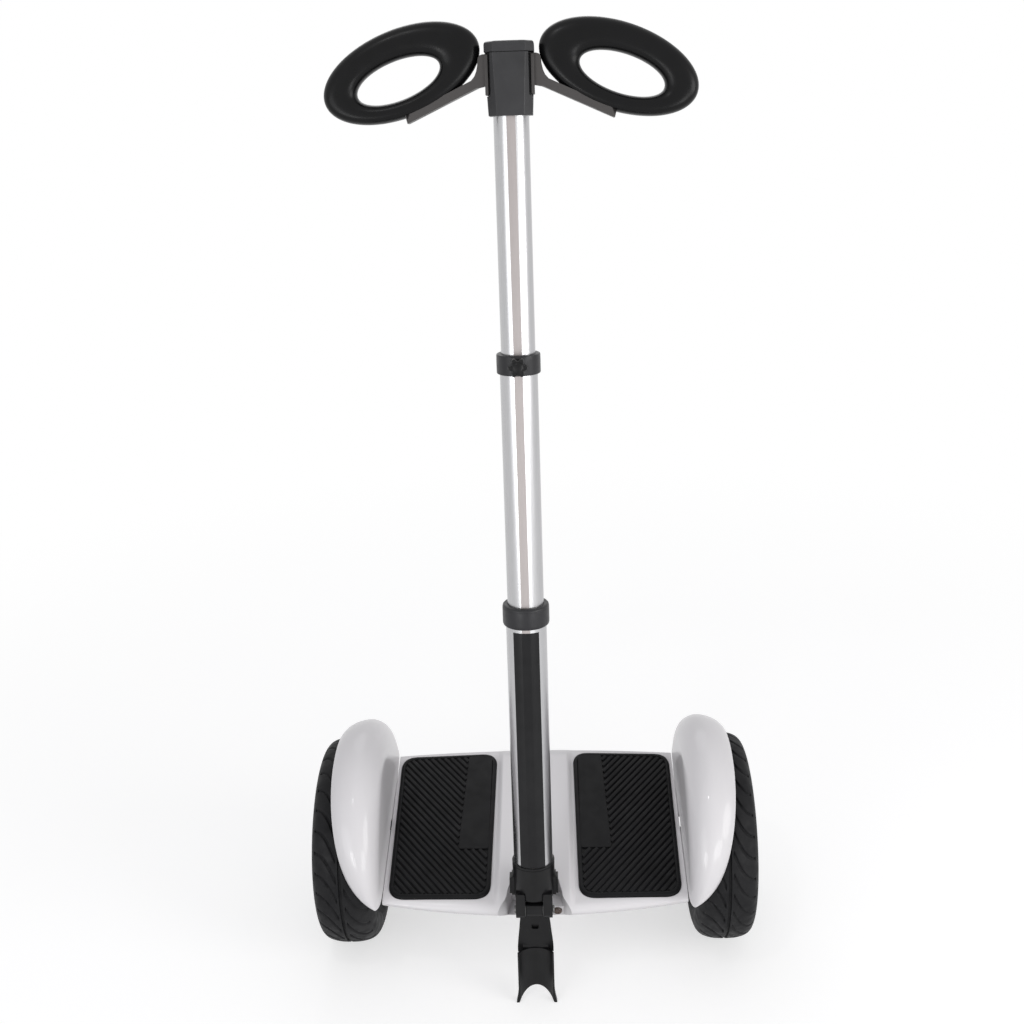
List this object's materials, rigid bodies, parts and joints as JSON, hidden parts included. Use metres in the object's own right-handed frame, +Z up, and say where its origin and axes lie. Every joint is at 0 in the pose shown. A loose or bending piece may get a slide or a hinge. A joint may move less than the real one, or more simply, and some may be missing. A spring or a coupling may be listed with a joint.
{
  "type": "self balancing personal transporter",
  "caption": "Two-wheeled self balancing transporter with foot pads, fenders, a leaning telescopic mast, oval grip loops and a fold-down stand.",
  "frame": {"origin": "on the floor, under the centre of the object's bounding box as it stands parked on its wheels and stand", "axes": "+Z up, +X to the right as seen by a person who faces the front with the stand nearest, +Y to the rear"},
  "size_m": [0.55, 0.3074, 1.1459],
  "materials": {
    "white_shell": "glossy moulded",
    "pad_rubber": "matte ribbed",
    "grip_rubber": "satin",
    "tyre_rubber": "treaded",
    "black_plastic": "satin",
    "label_black": "satin film",
    "head_grey": "satin",
    "arm_metal": "painted grey",
    "tube_alloy": "satin anodised",
    "wheel_metal": "painted grey",
    "frame_metal": "as cast",
    "battery_case": "satin",
    "steel": "plated",
    "board_green": "resin board",
    "button_brown": "glossy"
  },
  "bodies": {
    "base": {"deck_shell": "white_shell", "deck_belly": "white_shell", "chassis_frame": "frame_metal", "battery_pack": "battery_case", "controller_board": "board_green", "steering_bracket": "frame_metal", "steering_spring": "steel", "charge_socket": "black_plastic", "left_axle_clamp": "frame_metal", "right_axle_clamp": "frame_metal", "left_fender": "white_shell", "right_fender": "white_shell", "left_foot_pad": "pad_rubber", "right_foot_pad": "pad_rubber", "left_foot_sensor": "board_green", "right_foot_sensor": "board_green", "left_axle": "steel", "right_axle": "steel", "left_stator": "steel", "right_stator": "steel"},
    "left_wheel": {"left_rim": "wheel_metal", "left_inner_bearing": "steel", "left_outer_bearing": "steel", "left_hub_cover": "wheel_metal", "left_tyre": "tyre_rubber", "left_valve_stem": "pad_rubber"},
    "right_wheel": {"right_rim": "wheel_metal", "right_inner_bearing": "steel", "right_outer_bearing": "steel", "right_hub_cover": "wheel_metal", "right_tyre": "tyre_rubber", "right_valve_stem": "pad_rubber"},
    "column": {"steering_fork": "frame_metal", "column_sleeve": "black_plastic", "lower_tube": "tube_alloy", "label_band": "label_black", "hinge_pin": "steel"},
    "collar": {"lower_collar": "black_plastic"},
    "left_release": {"left_release_button": "black_plastic"},
    "right_release": {"right_release_button": "black_plastic"},
    "stand": {"stand_leg": "black_plastic"},
    "middle_mast": {"middle_tube": "tube_alloy", "middle_guide_bush": "black_plastic", "clamp_collar": "black_plastic", "clamp_nut": "steel"},
    "knob": {"clamp_knob": "black_plastic", "clamp_screw": "steel"},
    "upper_mast": {"upper_tube": "tube_alloy", "upper_guide_bush": "black_plastic", "head_body": "head_grey", "head_cap": "head_grey", "left_arm": "arm_metal", "right_arm": "arm_metal", "left_arm_screw": "steel", "right_arm_screw": "steel", "left_grip_loop": "grip_rubber", "right_grip_loop": "grip_rubber"},
    "charge_cover": {"charge_cover": "pad_rubber"},
    "power_button": {"power_button": "button_brown"}
  },
  "joints": [
    {"name": "left_wheel_spin", "type": "hinge", "parent": "base", "child": "left_wheel", "pos_m": [-0.2375, 0.00686, 0.129], "axis": [1, 0, 0], "continuous": true},
    {"name": "right_wheel_spin", "type": "hinge", "parent": "base", "child": "right_wheel", "pos_m": [0.2375, 0.00686, 0.129], "axis": [1, 0, 0], "continuous": true},
    {"name": "column_lean", "type": "hinge", "parent": "base", "child": "column", "pos_m": [0, -0.08057, 0.10757], "axis": [0, 0.9763, 0.2164], "range_deg": [-12, 12], "stiffness_Nm_per_rad": 40},
    {"name": "collar_twist", "type": "hinge", "parent": "column", "child": "collar", "pos_m": [0, -0.08148, 0.49526], "axis": [0, 0.0958, 0.9954], "range_deg": [0, 90]},
    {"name": "left_release_push", "type": "slide", "parent": "column", "child": "left_release", "axis": [1, 0, 0], "range_m": [0, 0.0015], "stiffness_N_per_m": 1500, "springref_m": -0.001},
    {"name": "right_release_push", "type": "slide", "parent": "column", "child": "right_release", "axis": [-1, 0, 0], "range_m": [0, 0.0015], "stiffness_N_per_m": 1500, "springref_m": -0.001},
    {"name": "stand_fold", "type": "hinge", "parent": "column", "child": "stand", "pos_m": [0, -0.13517, 0.12551], "axis": [-1, 0, 0], "range_deg": [0, 180]},
    {"name": "middle_slide", "type": "slide", "parent": "column", "child": "middle_mast", "axis": [0, 0.0958, 0.9954], "range_m": [-0.12, 0]},
    {"name": "knob_turn", "type": "hinge", "parent": "middle_mast", "child": "knob", "pos_m": [0, -0.08929, 0.78977], "axis": [0, -0.9954, 0.0958], "range_deg": [0, 360]},
    {"name": "upper_slide", "type": "slide", "parent": "middle_mast", "child": "upper_mast", "axis": [0, 0.0958, 0.9954], "range_m": [-0.16, 0]},
    {"name": "cover_swing", "type": "hinge", "parent": "base", "child": "charge_cover", "pos_m": [0, 0.14781, 0.15666], "axis": [1, 0, 0], "range_deg": [0, 110]},
    {"name": "power_push", "type": "slide", "parent": "base", "child": "power_button", "axis": [0, 0.9763, 0.2164], "range_m": [0, 0.0012], "stiffness_N_per_m": 1500, "springref_m": -0.001}
  ]
}
